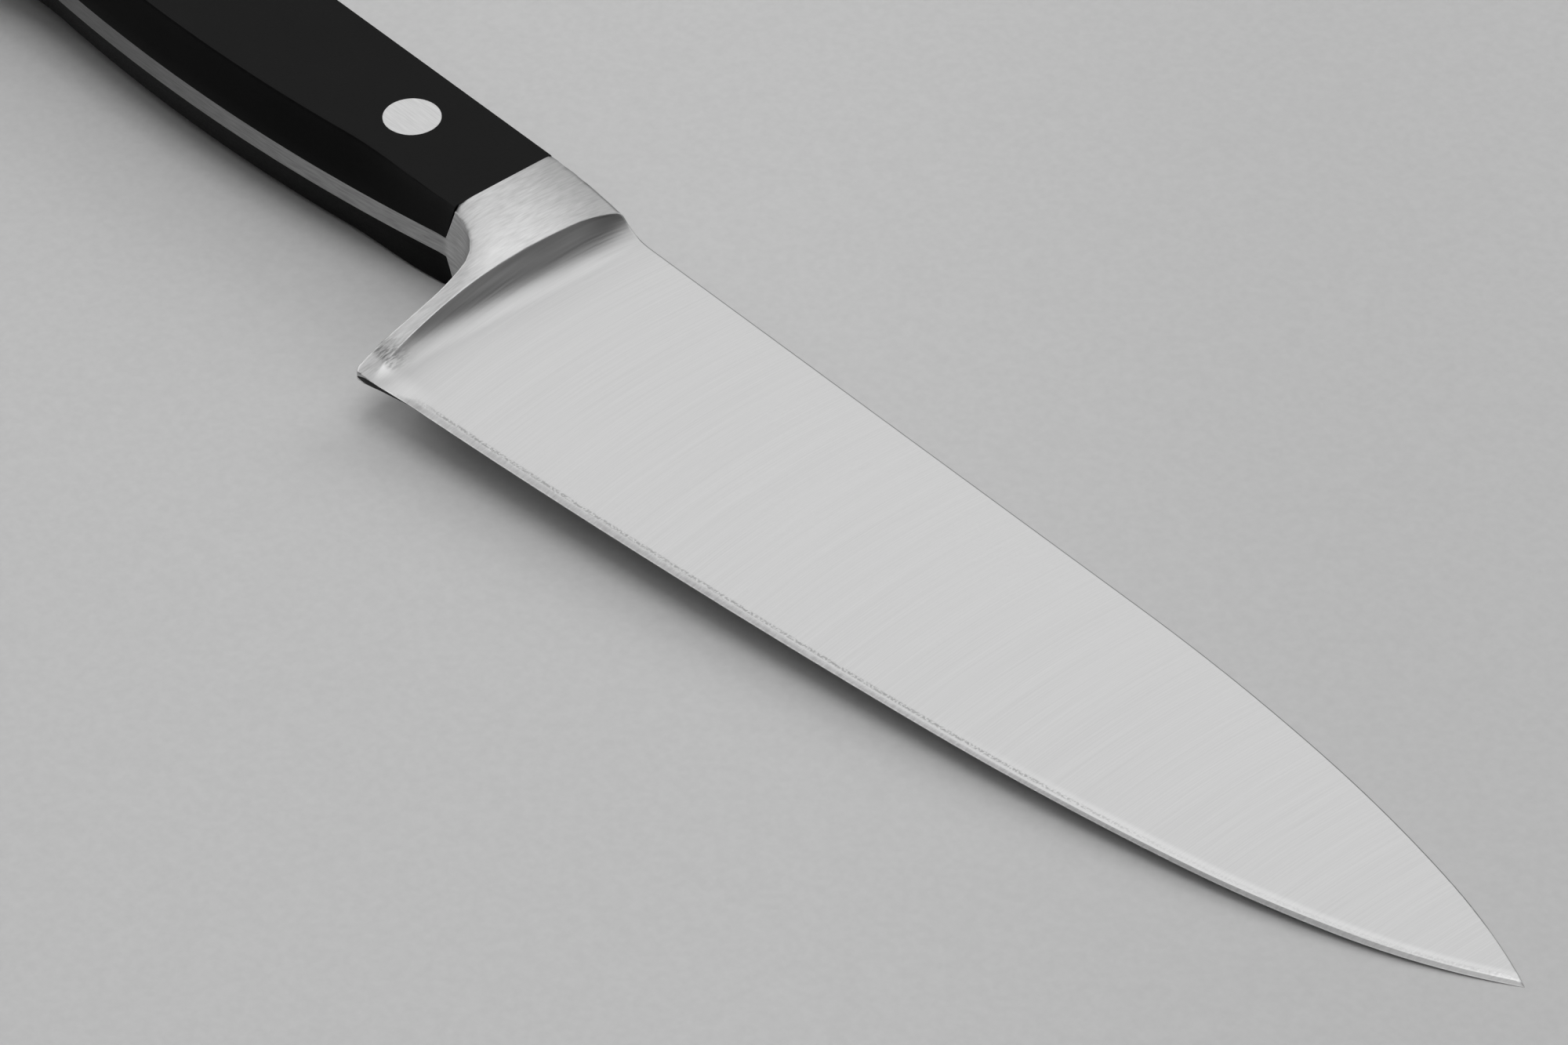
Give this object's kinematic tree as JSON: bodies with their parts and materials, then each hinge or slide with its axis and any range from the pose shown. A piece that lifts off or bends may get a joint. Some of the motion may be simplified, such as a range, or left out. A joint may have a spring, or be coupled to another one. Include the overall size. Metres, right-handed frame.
{
  "type": "chef knife",
  "caption": "Forged chef knife with a full bolster, a full tang and black riveted handle scales, lying on its side.",
  "frame": {"origin": "under the middle of the knife's bounding box, on the surface it lies on", "axes": "+X from the butt to the tip, +Y from the cutting edge to the spine, +Z across the blade, out of the upper flat side"},
  "size_m": [0.3376, 0.0494, 0.0176],
  "materials": {
    "blade_steel": "satin, ground across the blade",
    "handle_black": "matt moulded acetal",
    "rivet_steel": "ground flush, brushed along the handle"
  },
  "bodies": {
    "root": {"blade_bolster_tang": "blade_steel", "right_scale": "handle_black", "left_scale": "handle_black", "rivet_male_front": "rivet_steel", "rivet_female_front": "rivet_steel", "rivet_male_middle": "rivet_steel", "rivet_female_middle": "rivet_steel", "rivet_male_rear": "rivet_steel", "rivet_female_rear": "rivet_steel"}
  },
  "joints": []
}
